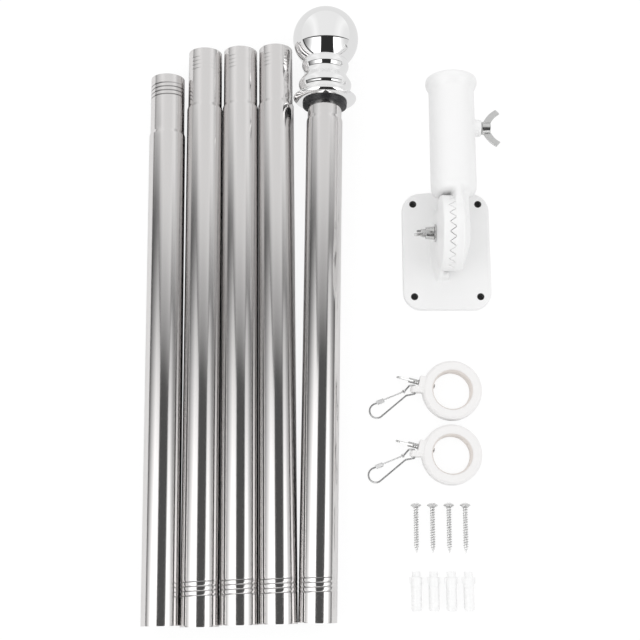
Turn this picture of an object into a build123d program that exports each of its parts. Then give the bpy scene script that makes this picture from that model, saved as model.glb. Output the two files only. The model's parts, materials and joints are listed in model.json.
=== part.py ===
from build123d import *
from math import acos, asin, atan2, cos, degrees, hypot, pi, radians, sin, sqrt, tan
import os

# Sectional flagpole kit, laid out on a level floor: five steel tubes with a ball finial,
# an adjustable wall bracket, two flag rings with snap hooks, four screws and four wall plugs.
# Millimetres, +Z up, +Y from the feet of the tubes to the finial. The floor is Z = 0.

# Pole tubes
tube_od = 25.0
tube_wall = 0.6
tube_gap = 0.1
neck_play = 0.1
neck_length = 41.0
shoulder_length = 2.4
roll_depth = 0.3
roll_width = 1.5
roll_pitch = 2.9
roll_count = 4
neck_roll_start = 7.2
foot_roll_start = 21.2
section_lengths = [377.0, 397.5, 397.7, 398.7, 383.0]
foot_offsets = [0.9, 0.0, 0.8, 1.1, 1.7]

# Where the tubes lie: section 3's foot, how the row leans, and how the end sections fan out
row_foot_x = -53.0
row_foot_y = -213.2
row_lean = 0.745
first_fan = 0.22
last_fan = 1.53

# Finial: the collar's heights are drops from the joint under the ball
ball_od = 46.0
collar_top_od = 31.2
upper_bead_od = 33.0
upper_bead_drop = 4.2
groove_od = 29.6
groove_drop = 10.3
lower_bead_od = 37.0
lower_bead_drop = 17.5
waist_od = 34.4
waist_drop = 24.0
collar_flange_od = 44.0
collar_flange_drop = 27.8
collar_rim_length = 3.4
collar_rim_taper = 1.2
collar_roof = 1.3
neck_end_play = 0.5
neck_socket_wall = 1.4
insert_od = 31.0
insert_top_drop = 15.5
insert_bottom_drop = 34.4
insert_play = 0.1
insert_edge = 1.0

# Wall bracket
bracket_x = 86.5
bracket_y = 40.0
plate_width = 61.0
plate_height = 85.0
plate_thickness = 5.0
plate_corner = 13.0
plate_arch = 2.5
plate_edge = 1.2
hole_spacing_x = 45.5
hole_spacing_y = 67.0
mounting_hole_d = 4.4
hinge_offset_y = 3.2
hinge_height = 33.0
disc_radius = 25.5
fixed_rim = 3.9
fixed_hub = 6.7
moving_rim = 5.3
moving_hub = 10.6
hub_radius = 10.0
cheek_edge = 1.0
teeth_count = 24
teeth_depth = 4.7
teeth_play = 0.15
teeth_overrun = 2.0
teeth_inset = 0.2
teeth_inner_radius = 10.0
teeth_offset_x = -0.8
foot_flare = 3.0
foot_half_lengths = (27.0, 24.5, 14.0)
foot_end_walls = (3.9, 3.4, 2.9)
foot_middle_walls = (8.8, 7.8, 6.4)
stop_offset_x = 1.3
stop_width = 6.4
stop_length = 5.0
stop_height = 5.0
stop_gap = 0.7
stop_draft = 5.0

# Pole socket of the bracket
socket_offset_x = 3.0
socket_od = 31.2
socket_bore_d = 26.0
socket_reach = 112.1
socket_clearance = 1.0
socket_floor = 4.0
socket_round = 5.0
bead_od = 35.6
bead_length = 9.6
bead_slope = 4.5
bead_flow = 5.0
bead_round = 2.5
mouth_edge = 0.6
neck_overlap = 6.0
neck_edge = 3.0
neck_inset = 0.6
boss_d = 11.7
boss_height = 4.2
boss_reach = 75.5
boss_edge = 0.8

# Clamp bolt, washer, wing nut and wing screw
bolt_d = 6.0
bolt_play = 0.15
bolt_head_d = 13.0
bolt_head_height = 3.0
washer_od = 12.0
washer_thickness = 1.2
wing_hub_d = 9.0
wing_hub_length = 6.0
wing_radius = 13.4
wing_rise = 10.0
wing_width = 4.1
wing_thickness = 1.8
wing_cut = 42.0
wing_bow = 0.09
wing_root_share = 0.3
wing_root_lift = 0.1
wing_hub_taper = 4.0
nut_roll = 78.0
nut_thread_beyond = 4.0
wing_screw_d = 5.0
wing_screw_gap = 0.3
wing_screw_tip_gap = 0.4

# Flag rings
ring_positions = [(87.2, -59.4), (86.0, -102.7)]
ring_od = 40.0
ring_height = 10.0
ring_bore_d = 25.4
ring_lip_d = 28.0
ring_lip_depth = 2.4
ring_bevel = 1.6
lug_width = 4.2
lug_height = 6.8
lug_offset_y = 0.6
pad_width = 9.0
pad_height = 8.0
pad_thickness = 2.8
pad_corner = 1.0
pivot_reach = 24.8
pivot_hole_d = 1.7
thumb_angle = 14.0
thumb_d = 3.0
thumb_play = 0.1
thumb_hub_d = 3.4
thumb_hub_length = 5.6
thumb_wing_radius = 7.2
thumb_wing_rise = 9.9
thumb_wing_width = 3.0
thumb_wing_thickness = 1.0
thumb_wing_roll = 10.0
thumb_gap = 0.2
thumb_tip_gap = 0.05

# Snap hooks, drawn flat from the pivot in the ring's lug
wire_d = 1.2
wire_play = 0.2
wire_bend = 0.8
hook_heel = (-6.0, -3.2)
hook_shoulder_x = -3.8
nose_centre = (-26.1, -12.9)
nose_radius = 4.95
nose_turn = 26.0
floor_play = 0.05
gate_pivot = (-7.6, -0.7)
gate_wire_d = 0.9
gate_pin_d = 1.0
gate_eye_d = 2.6
gate_eye_play = 0.1
gate_eye_gap = 0.15
tip_reach = 15.4
latch_wall = 0.45
latch_play = 0.2
latch_overhang = 0.8
latch_length = 5.2
latch_depth = 1.7

# Screws and wall plugs
screw_positions_x = [62.0, 72.85, 83.7, 94.5]
screw_head_y = -134.1
screw_length = 33.0
screw_d = 3.5
screw_head_d = 7.6
screw_head_height = 2.4
screw_crown_height = 1.7
screw_crown_bow = 0.45
screw_head_chamfer = 0.3
screw_tip_length = 5.0
screw_recess_width = 1.1
screw_recess_length = 4.2
screw_recess_depth = 1.4
plug_positions_x = [61.3, 72.75, 84.1, 95.4]
plug_top_y = -178.7
plug_length = 25.1
plug_d = 7.0
plug_bore_d = 3.4
plug_collar_d = 5.6
plug_collar_length = 3.5
plug_slot_width = 1.0
plug_slot_length = 15.0
plug_nose_length = 2.0
plug_nose_step = 0.6
plug_ear_height = 0.9
plug_ear_width = 1.2
plug_ear_length = 4.0
plug_ear_root = 0.5

os.makedirs("parts", exist_ok=True)


def save(piece, name):
    piece.part.label = name
    export_step(piece.part, f"parts/{name}.step")


# Pole sections

tube_radius = tube_od / 2
bore_radius = tube_radius - tube_wall
neck_radius = bore_radius - neck_play
neck_bore_radius = neck_radius - tube_wall
ball_radius = ball_od / 2
collar_top_radius = collar_top_od / 2
neck_end = section_lengths[-1]
socket_top = neck_end + neck_end_play
collar_top = socket_top + collar_roof
ball_middle = collar_top + sqrt(ball_radius**2 - collar_top_radius**2)
rest_rise = degrees(asin((ball_radius - tube_radius) / ball_middle))


def lying_plane(foot_x, foot_y, foot_z, lean, rise):
    """Plane through a tube's axis: its Y runs along the tube from the foot, its X across it."""
    across = Vector(cos(radians(lean)), sin(radians(lean)), 0)
    along = Vector(
        -sin(radians(lean)) * cos(radians(rise)),
        cos(radians(lean)) * cos(radians(rise)),
        sin(radians(rise)),
    )
    return Plane(origin=(foot_x, foot_y, foot_z), x_dir=across, z_dir=across.cross(along))


def rolled_grooves(radius, first, step):
    """Points of a row of shallow rolled grooves along a tube's outside."""
    points = []
    for turn in range(roll_count):
        middle = first + turn * step
        toward = roll_width / 2 if step > 0 else -roll_width / 2
        points += [(radius, middle - toward), (radius - roll_depth, middle), (radius, middle + toward)]
    return points


def make_section(name, line, length, rolled_foot):
    shoulder = length - neck_length
    foot_grooves = rolled_grooves(tube_radius, foot_roll_start, roll_pitch) if rolled_foot else []
    last_neck_groove = length - neck_roll_start - (roll_count - 1) * roll_pitch
    outline = [
        (bore_radius, 0),
        (tube_radius, 0),
        *foot_grooves,
        (tube_radius, shoulder - shoulder_length),
        (neck_radius, shoulder),
        *rolled_grooves(neck_radius, last_neck_groove, roll_pitch),
        (neck_radius, length),
        (neck_bore_radius, length),
        (neck_bore_radius, shoulder),
        (bore_radius, shoulder - shoulder_length),
    ]
    with BuildPart() as section:
        with BuildSketch(line):
            with BuildLine():
                Polyline(*outline, close=True)
            make_face()
        revolve(axis=Axis(line.origin, line.y_dir))
    save(section, name)


section_pitch = tube_od + tube_gap
section_lines = []
for place, offset in enumerate(foot_offsets):
    step = (place - 2) * section_pitch
    lean = row_lean
    rise = 0
    if place == 0:
        lean = row_lean + first_fan
    if place == len(foot_offsets) - 1:
        lean = row_lean - last_fan
        rise = rest_rise
    foot_x = row_foot_x + step * cos(radians(row_lean))
    foot_y = row_foot_y + offset + step * sin(radians(row_lean))
    section_lines.append(lying_plane(foot_x, foot_y, tube_radius, lean, rise))

for place, length in enumerate(section_lengths):
    make_section(f"pole_section_{place + 1}", section_lines[place], length, place > 0)

# Finial on the neck of section 5

finial_line = section_lines[-1]
finial_axis = Axis(finial_line.origin, finial_line.y_dir)
collar_bottom = collar_top - collar_flange_drop - collar_rim_length
insert_radius = insert_od / 2
insert_top = collar_top - insert_top_drop
insert_bottom = collar_top - insert_bottom_drop
neck_socket_radius = neck_radius + neck_socket_wall

with BuildPart() as finial_ball:
    with BuildSketch(finial_line):
        with BuildLine():
            CenterArc((0, ball_middle), ball_radius, -90, 180)
            Line((0, ball_middle + ball_radius), (0, ball_middle - ball_radius))
        make_face()
        with Locations((collar_top_radius / 2, collar_top - ball_radius / 2)):
            Rectangle(collar_top_radius, ball_radius, mode=Mode.SUBTRACT)
    revolve(axis=finial_axis)
save(finial_ball, "finial_ball")

collar_profile = [
    (collar_top_od, 0),
    (upper_bead_od, upper_bead_drop),
    (groove_od, groove_drop),
    (lower_bead_od, lower_bead_drop),
    (waist_od, waist_drop),
    (collar_flange_od, collar_flange_drop),
]
with BuildPart() as finial_collar:
    with BuildSketch(finial_line):
        with BuildLine():
            Line((0, collar_top), (collar_top_radius, collar_top))
            Spline(*[(diameter / 2, collar_top - drop) for diameter, drop in collar_profile])
            Polyline(
                (collar_flange_od / 2, collar_top - collar_flange_drop),
                (collar_flange_od / 2 - collar_rim_taper, collar_bottom),
                (insert_radius + insert_play, collar_bottom),
                (insert_radius + insert_play, insert_top + insert_play),
                (neck_socket_radius, insert_top + insert_play),
                (neck_socket_radius, socket_top),
                (0, socket_top),
                (0, collar_top),
            )
        make_face()
    revolve(axis=finial_axis)
save(finial_collar, "finial_collar")

with BuildPart() as finial_insert:
    with BuildSketch(finial_line):
        with BuildLine():
            Polyline(
                (neck_radius + insert_play, insert_bottom),
                (insert_radius - insert_edge, insert_bottom),
                (insert_radius, insert_bottom + insert_edge),
                (insert_radius, insert_top),
                (neck_radius + insert_play, insert_top),
                close=True,
            )
        make_face()
    revolve(axis=finial_axis)
save(finial_insert, "finial_insert")

# Wall bracket: plate and fixed toothed cheek, one casting

hinge_y = bracket_y + hinge_offset_y
teeth_root_x = bracket_x + teeth_offset_x - teeth_depth / 2
teeth_crest_x = teeth_root_x + teeth_depth
fixed_hub_x = teeth_root_x - fixed_hub
moving_face_x = teeth_crest_x + teeth_play
moving_hub_x = moving_face_x + moving_hub
bolt_hole_radius = bolt_d / 2 + bolt_play
through = moving_hub_x - fixed_hub_x
hinge_axis = Axis((0, hinge_y, hinge_height), (1, 0, 0))
across_hinge = Plane(origin=(0, hinge_y, hinge_height), x_dir=(1, 0, 0), z_dir=(0, -1, 0))


def disc_plane(x):
    """Plane across the hinge at x: its X runs along the plate, its Y up, its Z along +X."""
    return Plane(origin=(x, hinge_y, hinge_height), x_dir=(0, 1, 0), z_dir=(1, 0, 0))


def tooth_wedge(face_x):
    """A groove or tooth of the face teeth: a wedge that runs out to nothing at the hinge."""
    rim = disc_radius + teeth_overrun
    half_width = rim * tan(pi / teeth_count)
    depth = teeth_depth * rim / disc_radius
    outside = Plane(origin=(face_x, hinge_y + rim, hinge_height), x_dir=(1, 0, 0), z_dir=(0, 1, 0))
    with BuildPart() as wedge:
        with BuildSketch(outside):
            with BuildLine():
                Polyline((0, -half_width), (0, half_width), (-depth, 0), close=True)
            make_face()
        loft(sections=[wedge.pending_faces[0], Vertex(face_x, hinge_y, hinge_height)])
    return wedge.part


def toothed_ring(face_x):
    """All the wedges round the hinge."""
    wedge = tooth_wedge(face_x)
    turns = [wedge.rotate(hinge_axis, turn * 360 / teeth_count) for turn in range(teeth_count)]
    return Part(children=[]) + turns


def domed_cheek(face_x, rim_x, hub_x):
    """A disc with a thin rim that swells to a hub round the bolt."""
    with BuildPart() as cheek:
        with BuildSketch(across_hinge):
            with BuildLine():
                FilletPolyline(
                    (face_x, 0),
                    (face_x, disc_radius),
                    (rim_x, disc_radius),
                    (hub_x, hub_radius),
                    (hub_x, 0),
                    radius=[0, cheek_edge, cheek_edge],
                )
                Line((hub_x, 0), (face_x, 0))
            make_face()
        revolve(axis=hinge_axis)
    return cheek.part


fixed_cheek = domed_cheek(teeth_crest_x, teeth_root_x - fixed_rim, fixed_hub_x)
fixed_teeth = toothed_ring(teeth_crest_x)
foot_heights = (plate_thickness, plate_thickness + foot_flare, hinge_height)

with BuildPart() as bracket_base:
    with BuildSketch(Plane.XY):
        with BuildLine():
            left = bracket_x - plate_width / 2
            right = bracket_x + plate_width / 2
            low = bracket_y - plate_height / 2
            high = bracket_y + plate_height / 2
            Polyline((left, high - plate_arch), (left, low), (right, low), (right, high - plate_arch))
            ThreePointArc((right, high - plate_arch), (bracket_x, high), (left, high - plate_arch))
        make_face()
        fillet(vertices(), plate_corner)
    extrude(amount=plate_thickness)
    fillet(edges().group_by(Axis.Z)[-1], plate_edge)
    with Locations((bracket_x, bracket_y, 0)):
        with GridLocations(hole_spacing_x, hole_spacing_y, 2, 2):
            Hole(mounting_hole_d / 2)
    for height, half, end_wall, middle_wall in zip(
        foot_heights, foot_half_lengths, foot_end_walls, foot_middle_walls
    ):
        with BuildSketch(Plane.XY.offset(height)):
            with BuildLine():
                Polyline(
                    (teeth_root_x - end_wall, hinge_y - half),
                    (teeth_root_x, hinge_y - half),
                    (teeth_root_x, hinge_y + half),
                    (teeth_root_x - end_wall, hinge_y + half),
                )
                ThreePointArc(
                    (teeth_root_x - end_wall, hinge_y + half),
                    (teeth_root_x - middle_wall, hinge_y),
                    (teeth_root_x - end_wall, hinge_y - half),
                )
            make_face()
    loft(ruled=True)
    with BuildSketch(Plane.XY.offset(plate_thickness)):
        with Locations((teeth_root_x + stop_offset_x, hinge_y - disc_radius + stop_length / 2 + stop_gap)):
            Rectangle(stop_width, stop_length)
    extrude(amount=stop_height, taper=stop_draft)
    add(fixed_cheek)
    add(fixed_teeth, mode=Mode.SUBTRACT)
    with BuildSketch(disc_plane(teeth_root_x)):
        Circle(teeth_inner_radius)
    extrude(amount=teeth_depth, mode=Mode.SUBTRACT)
    with BuildSketch(disc_plane(fixed_hub_x)):
        Circle(bolt_hole_radius)
    extrude(amount=through, mode=Mode.SUBTRACT)
save(bracket_base, "bracket_base")

# Moving toothed cheek and pole socket, one casting

socket_x = bracket_x + socket_offset_x
socket_start = disc_radius + socket_clearance
bore_floor = socket_start + socket_floor
bead_start = socket_reach - bead_length
socket_axis = Axis((socket_x, hinge_y, hinge_height), (0, 1, 0))
moving_rim_x = moving_face_x + moving_rim
moving_cheek = domed_cheek(moving_face_x, moving_rim_x, moving_hub_x)
moving_teeth = toothed_ring(moving_face_x)
neck_end_y = socket_start + neck_overlap
neck_half = sqrt((socket_od / 2) ** 2 - (moving_rim_x - socket_x) ** 2) - neck_inset


def tangent_point(point, centre, radius, side):
    """Where a line from a point touches a circle, on the side given by +1 or -1."""
    away = atan2(point[1] - centre[1], point[0] - centre[0])
    turn = side * acos(radius / hypot(point[0] - centre[0], point[1] - centre[1]))
    return (centre[0] + radius * cos(away + turn), centre[1] + radius * sin(away + turn))


with BuildPart() as boss:
    with BuildSketch(disc_plane(socket_x)):
        with Locations((boss_reach, 0)):
            Circle(boss_d / 2)
    extrude(amount=socket_od / 2 + boss_height)
    fillet(edges().sort_by(Axis.X)[-1], boss_edge)

with BuildPart() as bracket_socket:
    add(moving_teeth)
    with BuildSketch(disc_plane(teeth_root_x - teeth_overrun)):
        Circle(2 * disc_radius)
        Circle(disc_radius - teeth_inset, mode=Mode.SUBTRACT)
        Circle(teeth_inner_radius)
    extrude(amount=teeth_depth + 2 * teeth_overrun, mode=Mode.SUBTRACT)
    add(moving_cheek)
    with BuildSketch(disc_plane(moving_face_x)):
        with BuildLine():
            Polyline(
                tangent_point((neck_end_y, neck_half), (0, 0), disc_radius - neck_inset, 1),
                (neck_end_y, neck_half),
                (neck_end_y, -neck_half),
                tangent_point((neck_end_y, -neck_half), (0, 0), disc_radius - neck_inset, -1),
                close=True,
            )
        make_face()
    extrude(amount=moving_rim)
    with BuildSketch(Plane(origin=(moving_face_x, hinge_y, hinge_height), x_dir=(1, 0, 0), z_dir=(0, 1, 0))):
        with Locations((moving_hub / 2, 0)):
            RectangleRounded(moving_hub, 2 * hub_radius, neck_edge)
    extrude(amount=neck_end_y)
    with BuildSketch(Plane(origin=(socket_x, hinge_y, hinge_height))):
        with BuildLine():
            FilletPolyline(
                (0, socket_start),
                (socket_od / 2, socket_start),
                (socket_od / 2, bead_start),
                (bead_od / 2, bead_start + bead_slope),
                (bead_od / 2, socket_reach),
                (0, socket_reach),
                radius=[socket_round, bead_flow, bead_flow, bead_round],
            )
            Line((0, socket_reach), (0, socket_start))
        make_face()
    revolve(axis=socket_axis)
    add(boss.part)
    with BuildSketch(Plane(origin=(socket_x, hinge_y, hinge_height))):
        with BuildLine():
            Polyline(
                (0, bore_floor),
                (socket_bore_d / 2, bore_floor),
                (socket_bore_d / 2, socket_reach - mouth_edge),
                (socket_bore_d / 2 + mouth_edge, socket_reach),
                (0, socket_reach),
                close=True,
            )
        make_face()
    revolve(axis=socket_axis, mode=Mode.SUBTRACT)
    with BuildSketch(disc_plane(socket_x)):
        with Locations((boss_reach, 0)):
            Circle(wing_screw_d / 2 + bolt_play)
    extrude(amount=socket_od, mode=Mode.SUBTRACT)
    with BuildSketch(disc_plane(moving_face_x)):
        Circle(bolt_hole_radius)
    extrude(amount=moving_hub, mode=Mode.SUBTRACT)
    with BuildSketch(disc_plane(moving_hub_x - bolt_head_height)):
        Circle(bolt_head_d / 2 + bolt_play)
    extrude(amount=bolt_head_height, mode=Mode.SUBTRACT)
save(bracket_socket, "bracket_socket")

# Clamp bolt along the hinge, its head sunk in the moving cheek, with its washer and wing nut

washer_x = fixed_hub_x - washer_thickness
bolt_end_x = washer_x - wing_hub_length - nut_thread_beyond
bolt_head_x = moving_hub_x - bolt_head_height

with BuildPart() as clamp_bolt:
    with BuildSketch(disc_plane(bolt_end_x)):
        Circle(bolt_d / 2)
    extrude(amount=bolt_head_x - bolt_end_x)
    with BuildSketch(disc_plane(bolt_head_x)):
        Circle(bolt_head_d / 2)
    extrude(amount=bolt_head_height)
    fillet(edges().filter_by(GeomType.CIRCLE).sort_by(Axis.X)[-1], bolt_head_height / 2)
save(clamp_bolt, "clamp_bolt")

with BuildPart() as clamp_washer:
    with BuildSketch(disc_plane(washer_x)):
        Circle(washer_od / 2)
        Circle(bolt_hole_radius, mode=Mode.SUBTRACT)
    extrude(amount=washer_thickness)
save(clamp_washer, "clamp_washer")


def bowed_middle(start, end):
    """The middle of a wing's edge, which bows away from its chord."""
    across = end[0] - start[0]
    along = end[1] - start[1]
    return ((start[0] + end[0]) / 2 + wing_bow * along, (start[1] + end[1]) / 2 - wing_bow * across)


def winged_hub(line, hub_d, hub_length, bore_radius, radius, rise, width, thickness, roll):
    """A round hub with two horn-shaped wings. The hub starts at the line's origin, along its Z."""
    wing_way = line.x_dir * cos(radians(roll)) + line.y_dir * sin(radians(roll))
    wing_plane = Plane(origin=line.origin, x_dir=wing_way, z_dir=wing_way.cross(line.z_dir))
    root = hub_d * wing_root_share
    outer_root = (root, hub_length * wing_root_lift)
    outer_tip = (radius, rise)
    inner_tip = (radius - width * cos(radians(wing_cut)), rise + width * sin(radians(wing_cut)))
    inner_root = (root, hub_length)
    with BuildPart() as hub:
        with BuildSketch(line):
            Circle(hub_d / 2)
        extrude(amount=hub_length, taper=wing_hub_taper)
        with BuildSketch(wing_plane):
            with BuildLine():
                ThreePointArc(outer_root, bowed_middle(outer_root, outer_tip), outer_tip)
                Line(outer_tip, inner_tip)
                ThreePointArc(inner_tip, bowed_middle(inner_root, inner_tip), inner_root)
                Line(inner_root, outer_root)
            make_face()
            mirror(about=Plane.YZ)
        extrude(amount=thickness / 2, both=True)
        if bore_radius:
            with BuildSketch(line):
                Circle(bore_radius)
            extrude(amount=hub_length + rise, mode=Mode.SUBTRACT)
    return hub.part


nut_line = Plane(origin=(washer_x, hinge_y, hinge_height), x_dir=(0, 1, 0), z_dir=(-1, 0, 0))
with BuildPart() as clamp_wing_nut:
    add(
        winged_hub(
            nut_line,
            wing_hub_d,
            wing_hub_length,
            bolt_hole_radius,
            wing_radius,
            wing_rise,
            wing_width,
            wing_thickness,
            nut_roll,
        )
    )
save(clamp_wing_nut, "clamp_wing_nut")

# Wing screw that pinches the pole in the socket

boss_x = socket_x + socket_od / 2 + boss_height
wing_screw_line = Plane(
    origin=(boss_x + wing_screw_gap, hinge_y + boss_reach, hinge_height), x_dir=(0, 1, 0), z_dir=(1, 0, 0)
)
with BuildPart() as socket_wing_screw:
    add(
        winged_hub(
            wing_screw_line,
            wing_hub_d,
            wing_hub_length,
            0,
            wing_radius,
            wing_rise,
            wing_width,
            wing_thickness,
            0,
        )
    )
    with BuildSketch(disc_plane(socket_x + socket_bore_d / 2 + wing_screw_tip_gap)):
        with Locations((boss_reach, 0)):
            Circle(wing_screw_d / 2)
    extrude(until=Until.NEXT)
save(socket_wing_screw, "socket_wing_screw")

# Flag rings: the thumbscrew's wings lift the ring's left side off the floor

thumb_start = ring_od / 2 + pad_thickness + thumb_gap
thumb_tip = ring_bore_d / 2 + thumb_tip_gap
thumb_rest = ring_od / 2 + thumb_start + thumb_wing_rise
ring_tilt = degrees(asin((thumb_wing_radius - ring_height / 2) / thumb_rest))


def ring_plane(centre_x, centre_y, height):
    """Plane level with the ring at a height above its underside, tilted as the ring lies."""
    tilt = radians(ring_tilt)
    away = Vector(-cos(tilt), 0, sin(tilt))
    up = Vector(sin(tilt), 0, cos(tilt))
    origin = Vector(centre_x + ring_od / 2, centre_y, 0) + away * (ring_od / 2) + up * height
    return Plane(origin=origin, x_dir=-away, z_dir=up)


def make_ring(number, centre_x, centre_y):
    base = ring_plane(centre_x, centre_y, 0)
    middle = ring_plane(centre_x, centre_y, ring_height / 2)
    thumb_way = middle.x_dir * -cos(radians(thumb_angle)) + middle.y_dir * sin(radians(thumb_angle))
    thumb_side = middle.z_dir.cross(thumb_way)
    thumb_line = Plane(origin=middle.origin, x_dir=middle.z_dir, z_dir=thumb_way)
    wall_middle = (ring_od + ring_bore_d) / 4
    pivot_line = Plane(
        origin=middle.origin - middle.x_dir * pivot_reach, x_dir=middle.x_dir, z_dir=middle.y_dir
    )
    lug_straight = pivot_reach + lug_height / 2 - lug_width / 2
    with BuildPart() as lug:
        with BuildSketch(middle.offset(-lug_height / 2)):
            with Locations((-lug_straight, lug_offset_y)):
                Circle(lug_width / 2)
            with Locations((-(lug_straight + wall_middle) / 2, lug_offset_y)):
                Rectangle(lug_straight - wall_middle, lug_width)
        extrude(amount=lug_height)
        with BuildSketch(pivot_line):
            Circle(lug_height / 2)
            with Locations(((pivot_reach - wall_middle) / 2, 0)):
                Rectangle(pivot_reach - wall_middle, lug_height)
        extrude(amount=lug_width, both=True, mode=Mode.INTERSECT)
    with BuildPart() as body:
        with BuildSketch(base):
            Circle(ring_od / 2)
        extrude(amount=ring_height)
        chamfer(edges().filter_by(GeomType.CIRCLE), ring_bevel)
        add(lug.part)
        with BuildSketch(thumb_line.offset(wall_middle)):
            RectangleRounded(pad_height, pad_width, pad_corner)
        extrude(amount=ring_od / 2 + pad_thickness - wall_middle)
        with BuildSketch(base):
            Circle(ring_bore_d / 2)
        extrude(amount=ring_height, mode=Mode.SUBTRACT)
        with BuildSketch(base.offset(ring_height - ring_lip_depth)):
            Circle(ring_bore_d / 2)
        with BuildSketch(base.offset(ring_height)):
            Circle(ring_lip_d / 2)
        loft(mode=Mode.SUBTRACT)
        with BuildSketch(thumb_line):
            Circle(thumb_d / 2 + thumb_play)
        extrude(amount=ring_od, mode=Mode.SUBTRACT)
        with BuildSketch(pivot_line):
            Circle(pivot_hole_d / 2)
        extrude(amount=ring_od / 2, both=True, mode=Mode.SUBTRACT)
    save(body, f"ring_{number}_body")

    with BuildPart() as thumbscrew:
        add(
            winged_hub(
                thumb_line.offset(thumb_start),
                thumb_hub_d,
                thumb_hub_length,
                0,
                thumb_wing_radius,
                thumb_wing_rise,
                thumb_wing_width,
                thumb_wing_thickness,
                thumb_wing_roll,
            )
        )
        with BuildSketch(thumb_line.offset(thumb_tip)):
            Circle(thumb_d / 2)
        extrude(amount=thumb_start + thumb_hub_length / 2 - thumb_tip)
    save(thumbscrew, f"ring_{number}_thumbscrew")
    make_hook(number, pivot_line.origin)


def make_hook(number, pivot):
    """A wire snap hook, drawn flat from its pivot: X back towards the ring, Y across."""
    nose_end = nose_radius - nose_centre[0]
    droop = asin((pivot.Z - wire_d / 2 - floor_play) / nose_end)
    flat = Plane(
        origin=pivot, x_dir=(cos(droop), 0, sin(droop)), z_dir=(-sin(droop), 0, cos(droop))
    )
    side_gap = lug_width / 2 + wire_d / 2 + wire_play
    pin_top = lug_offset_y + side_gap
    pin_low = lug_offset_y - side_gap
    gate_touch = tangent_point(gate_pivot, nose_centre, nose_radius, 1)
    heel_touch = tangent_point(hook_heel, nose_centre, nose_radius, -1)
    reach = hypot(gate_touch[0] - gate_pivot[0], gate_touch[1] - gate_pivot[1])
    gate_way = ((gate_touch[0] - gate_pivot[0]) / reach, (gate_touch[1] - gate_pivot[1]) / reach)
    nose_tip = (gate_pivot[0] + gate_way[0] * tip_reach, gate_pivot[1] + gate_way[1] * tip_reach)
    far_side = (
        nose_centre[0] - nose_radius * cos(radians(nose_turn)),
        nose_centre[1] - nose_radius * sin(radians(nose_turn)),
    )
    with BuildPart() as frame:
        with BuildLine(flat) as route:
            Line(nose_tip, gate_touch)
            ThreePointArc(gate_touch, far_side, heel_touch)
            FilletPolyline(
                heel_touch,
                hook_heel,
                (0, pin_low),
                (0, pin_top),
                (hook_shoulder_x, pin_top),
                gate_pivot,
                radius=wire_bend,
            )
        with BuildSketch(Plane(origin=route.line @ 0, z_dir=route.line % 0)):
            Circle(wire_d / 2)
        sweep()
        with BuildSketch(flat):
            with Locations(gate_pivot):
                Circle(gate_pin_d / 2)
        extrude(amount=wire_d / 2 + gate_eye_gap + gate_wire_d)
    save(frame, f"hook_{number}_frame")

    gate_x = flat.x_dir * gate_way[0] + flat.y_dir * gate_way[1]
    gate_flat = Plane(origin=flat.from_local_coords(gate_pivot), x_dir=gate_x, z_dir=flat.z_dir)
    gate_level = wire_d / 2 + gate_eye_gap
    latch_inside = wire_d / 2 + latch_play
    latch_start = tip_reach - latch_overhang
    with BuildPart() as gate:
        with BuildSketch(gate_flat.offset(gate_level)):
            Circle(gate_eye_d / 2)
            with Locations((latch_start / 2 + gate_eye_d / 4, 0)):
                Rectangle(latch_start - gate_eye_d / 2 + gate_wire_d, gate_wire_d)
            Circle(gate_pin_d / 2 + gate_eye_play, mode=Mode.SUBTRACT)
        extrude(amount=gate_wire_d)
        with BuildSketch(Plane(origin=gate_flat.origin, x_dir=flat.z_dir, z_dir=gate_x).offset(latch_start)):
            with Locations((0, latch_inside - latch_depth / 2)):
                Rectangle(2 * (latch_inside + latch_wall), latch_depth + 2 * latch_wall)
            with Locations((0, latch_wall)):
                Rectangle(2 * latch_inside, 2 * latch_inside + 2 * latch_wall, mode=Mode.SUBTRACT)
        extrude(amount=latch_length)
    save(gate, f"hook_{number}_gate")


for number, (centre_x, centre_y) in enumerate(ring_positions, start=1):
    make_ring(number, centre_x, centre_y)

# Screws: each lies on the rim of its head and the crest of its thread


def make_screw(number, x):
    droop = degrees(asin((screw_head_d - screw_d) / 2 / (screw_length - screw_tip_length)))
    line = lying_plane(x, screw_head_y, screw_head_d / 2, 180, -droop)
    with BuildPart() as screw:
        with BuildSketch(line):
            with BuildLine():
                Line((0, screw_length), (0, 0))
                ThreePointArc(
                    (0, 0),
                    (screw_head_d / 4, screw_crown_height / 2 - screw_crown_bow),
                    (screw_head_d / 2, screw_crown_height),
                )
                Polyline(
                    (screw_head_d / 2, screw_crown_height),
                    (screw_head_d / 2 - screw_head_chamfer, screw_head_height),
                    (screw_d / 2, screw_head_height),
                    (screw_d / 2, screw_length - screw_tip_length),
                    (0, screw_length),
                )
            make_face()
        revolve(axis=Axis(line.origin, line.y_dir))
        with BuildSketch(Plane(origin=line.origin, x_dir=line.x_dir, z_dir=line.y_dir)):
            Rectangle(screw_recess_length, screw_recess_width)
            Rectangle(screw_recess_width, screw_recess_length)
        extrude(amount=screw_recess_depth, mode=Mode.SUBTRACT)
    save(screw, f"screw_{number}")


for number, x in enumerate(screw_positions_x, start=1):
    make_screw(number, x)

# Wall plugs: sleeves split from the tip, with two ears that keep them from turning


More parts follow.
